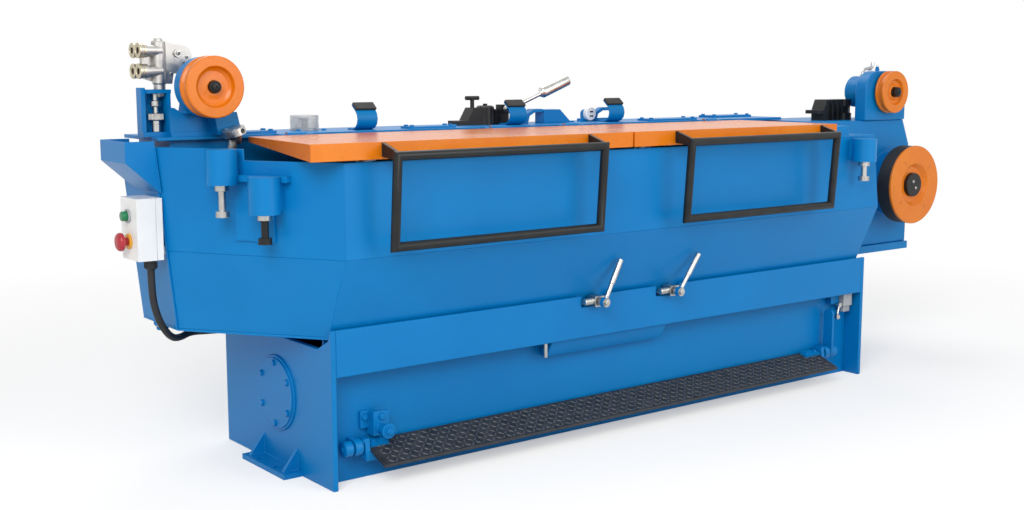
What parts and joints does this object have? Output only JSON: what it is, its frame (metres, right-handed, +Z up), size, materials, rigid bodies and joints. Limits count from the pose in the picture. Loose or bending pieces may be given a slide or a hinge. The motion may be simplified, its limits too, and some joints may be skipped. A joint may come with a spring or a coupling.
{
  "type": "wire drawing machine",
  "caption": "Slip wire drawing machine on a floor base: sloped drawing trough with hinged lids, wire guide pulleys, outlet tower with capstan and a long foot treadle.",
  "frame": {"origin": "middle of the base on the floor", "axes": "+X along the wire from inlet to outlet, operator side at -Y, +Z up"},
  "size_m": [2.5261, 0.645, 0.96],
  "materials": {
    "machine_blue": "gloss enamel",
    "safety_orange": "gloss enamel",
    "black_paint": "satin paint",
    "tread_plate": "satin raised tread",
    "bright_steel": "zinc plated",
    "cast_aluminium": "cast, satin",
    "drawing_steel": "ground",
    "black_rubber": "matt",
    "black_plastic": "matt",
    "white_plastic": "satin",
    "grey_plastic": "satin",
    "green_plastic": "gloss",
    "red_plastic": "gloss",
    "yellow_plastic": "gloss",
    "clear_plastic": "clear"
  },
  "bodies": {
    "frame": {"base_end_plates": "machine_blue", "front_apron": "machine_blue", "base_panels": "machine_blue", "base_floor": "machine_blue", "inspection_cover": "machine_blue", "foot_brackets": "machine_blue", "trough_floor": "machine_blue", "trough_ends": "machine_blue", "trough_corner_slope": "machine_blue", "trough_corner_wall": "machine_blue", "trough_front_slope": "machine_blue", "trough_front_wall": "machine_blue", "gear_housing": "machine_blue", "deck_plate": "machine_blue", "rim_cover": "machine_blue", "inlet_chute": "machine_blue", "lid_hinges": "machine_blue", "lid_rest_strips": "machine_blue", "inlet_bracket": "machine_blue", "tower_flange": "machine_blue", "tower_body": "machine_blue", "tower_head": "machine_blue", "jack_housings": "machine_blue", "treadle_bearings": "machine_blue", "shift_blocks": "machine_blue", "sump": "machine_blue", "lid_rest_pads": "black_rubber", "pulley_axles": "black_paint", "guide_unit": "cast_aluminium", "adjusting_spindle": "bright_steel", "wire_guide_clamp": "bright_steel", "jack_bolts": "bright_steel", "control_box": "white_plastic", "start_collar": "grey_plastic", "stop_collar": "yellow_plastic", "cable_gland": "black_plastic", "control_cable": "black_rubber", "limit_switch": "grey_plastic", "valve_bodies": "bright_steel", "sight_cup": "clear_plastic", "black_castings": "black_paint", "filler_cap": "white_plastic"},
    "lid_left": {"lid_left": "safety_orange", "lid_left_frame": "black_paint"},
    "lid_right": {"lid_right": "safety_orange", "lid_right_frame": "black_paint"},
    "inlet_pulley": {"inlet_pulley": "safety_orange"},
    "outlet_pulley": {"outlet_pulley": "safety_orange"},
    "capstan": {"capstan_wheel": "safety_orange", "capstan_rim": "black_rubber", "capstan_boss": "black_paint"},
    "treadle": {"treadle_plate": "tread_plate", "treadle_frame": "machine_blue"},
    "valve_lever_left": {"valve_lever_left": "bright_steel"},
    "valve_lever_right": {"valve_lever_right": "bright_steel"},
    "start_button": {"start_button": "green_plastic"},
    "stop_button": {"stop_button": "red_plastic"},
    "shift_lever": {"shift_lever": "bright_steel"},
    "drawing_cone_left": {"drawing_cone_left": "drawing_steel"},
    "drawing_cone_right": {"drawing_cone_right": "drawing_steel"}
  },
  "joints": [
    {"name": "lid_left_hinge", "type": "hinge", "parent": "frame", "child": "lid_left", "pos_m": [-0.522, 0.044, 0.745], "axis": [-1, 0, 0], "range_deg": [0, 110]},
    {"name": "lid_right_hinge", "type": "hinge", "parent": "frame", "child": "lid_right", "pos_m": [0.285, 0.044, 0.745], "axis": [-1, 0, 0], "range_deg": [0, 110]},
    {"name": "inlet_pulley_spin", "type": "hinge", "parent": "frame", "child": "inlet_pulley", "pos_m": [-1.025, -0.006, 0.857], "axis": [0, 1, 0], "continuous": true},
    {"name": "outlet_pulley_spin", "type": "hinge", "parent": "frame", "child": "outlet_pulley", "pos_m": [1.153, -0.136, 0.826], "axis": [0, 1, 0], "continuous": true},
    {"name": "capstan_spin", "type": "hinge", "parent": "frame", "child": "capstan", "pos_m": [1.193, -0.171, 0.543], "axis": [0, 1, 0], "continuous": true},
    {"name": "drawing_cone_left_spin", "type": "hinge", "parent": "frame", "child": "drawing_cone_left", "pos_m": [-0.562, 0.004, 0.545], "axis": [0, 1, 0], "continuous": true},
    {"name": "drawing_cone_right_spin", "type": "hinge", "parent": "frame", "child": "drawing_cone_right", "pos_m": [0.338, 0.004, 0.545], "axis": [0, 1, 0], "continuous": true},
    {"name": "treadle_pivot", "type": "hinge", "parent": "frame", "child": "treadle", "pos_m": [-0.032, -0.228, 0.08], "axis": [1, 0, 0], "range_deg": [0, 8], "stiffness_Nm_per_rad": 40, "springref_deg": -8.59},
    {"name": "valve_left_turn", "type": "hinge", "parent": "frame", "child": "valve_lever_left", "pos_m": [-0.159, -0.294, 0.337], "axis": [0, 1, 0], "range_deg": [-27, 63]},
    {"name": "valve_right_turn", "type": "hinge", "parent": "frame", "child": "valve_lever_right", "pos_m": [0.094, -0.294, 0.337], "axis": [0, 1, 0], "range_deg": [-36, 54]},
    {"name": "shift_lever_swing", "type": "hinge", "parent": "frame", "child": "shift_lever", "pos_m": [-0.122, 0.136, 0.79], "axis": [0, 1, 0], "range_deg": [-20, 12]},
    {"name": "start_press", "type": "slide", "parent": "frame", "child": "start_button", "axis": [1, 0, 0], "range_m": [0, 0.003], "stiffness_N_per_m": 800, "springref_m": -0.002},
    {"name": "stop_press", "type": "slide", "parent": "frame", "child": "stop_button", "axis": [1, 0, 0], "range_m": [0, 0.004], "stiffness_N_per_m": 1500, "springref_m": -0.002}
  ]
}
